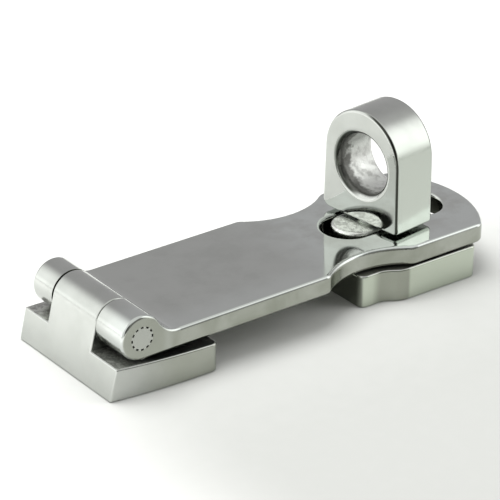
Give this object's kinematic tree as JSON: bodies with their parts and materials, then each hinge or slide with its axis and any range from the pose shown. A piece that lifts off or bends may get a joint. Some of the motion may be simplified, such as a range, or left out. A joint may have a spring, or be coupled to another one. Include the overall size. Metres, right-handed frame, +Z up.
{
  "type": "hasp and staple",
  "caption": "Swivel-eye hasp and staple in polished cast stainless steel, with a knuckle-hinged slotted leaf and a turning padlock eye on its own base.",
  "frame": {"origin": "on the mounting face, under the hinge pin's axis, on the leaf's centreline", "axes": "+X from the hinge towards the staple along the leaf, +Y across, +Z up away from the mounting surface"},
  "size_m": [0.0881, 0.0302, 0.0326],
  "materials": {
    "cast_steel": "hand-polished cast stainless steel",
    "eye_steel": "mirror-polished cast stainless steel, rougher in the hole",
    "pin_steel": "ground stainless steel rod, knurled ends",
    "washer_steel": "plain rolled stainless steel"
  },
  "bodies": {
    "hinge_plate": {"hinge_base": "cast_steel"},
    "leaf": {"hasp_leaf": "cast_steel", "hinge_pin": "pin_steel"},
    "staple": {"staple_base": "cast_steel"},
    "eye": {"swivel_eye": "eye_steel", "retaining_washer": "washer_steel", "disc_spring": "washer_steel"}
  },
  "joints": [
    {"name": "leaf_hinge", "type": "hinge", "parent": "hinge_plate", "child": "leaf", "pos_m": [0, 0, 0.0104], "axis": [0, -1, 0], "range_deg": [0, 165]},
    {"name": "staple_slide", "type": "slide", "parent": "leaf", "child": "staple", "axis": [1, 0, 0], "range_m": [-0.0021, 0.0047]},
    {"name": "eye_swivel", "type": "hinge", "parent": "staple", "child": "eye", "pos_m": [0.0623, 0, 0.0109], "axis": [0, 0, 1], "continuous": true}
  ]
}
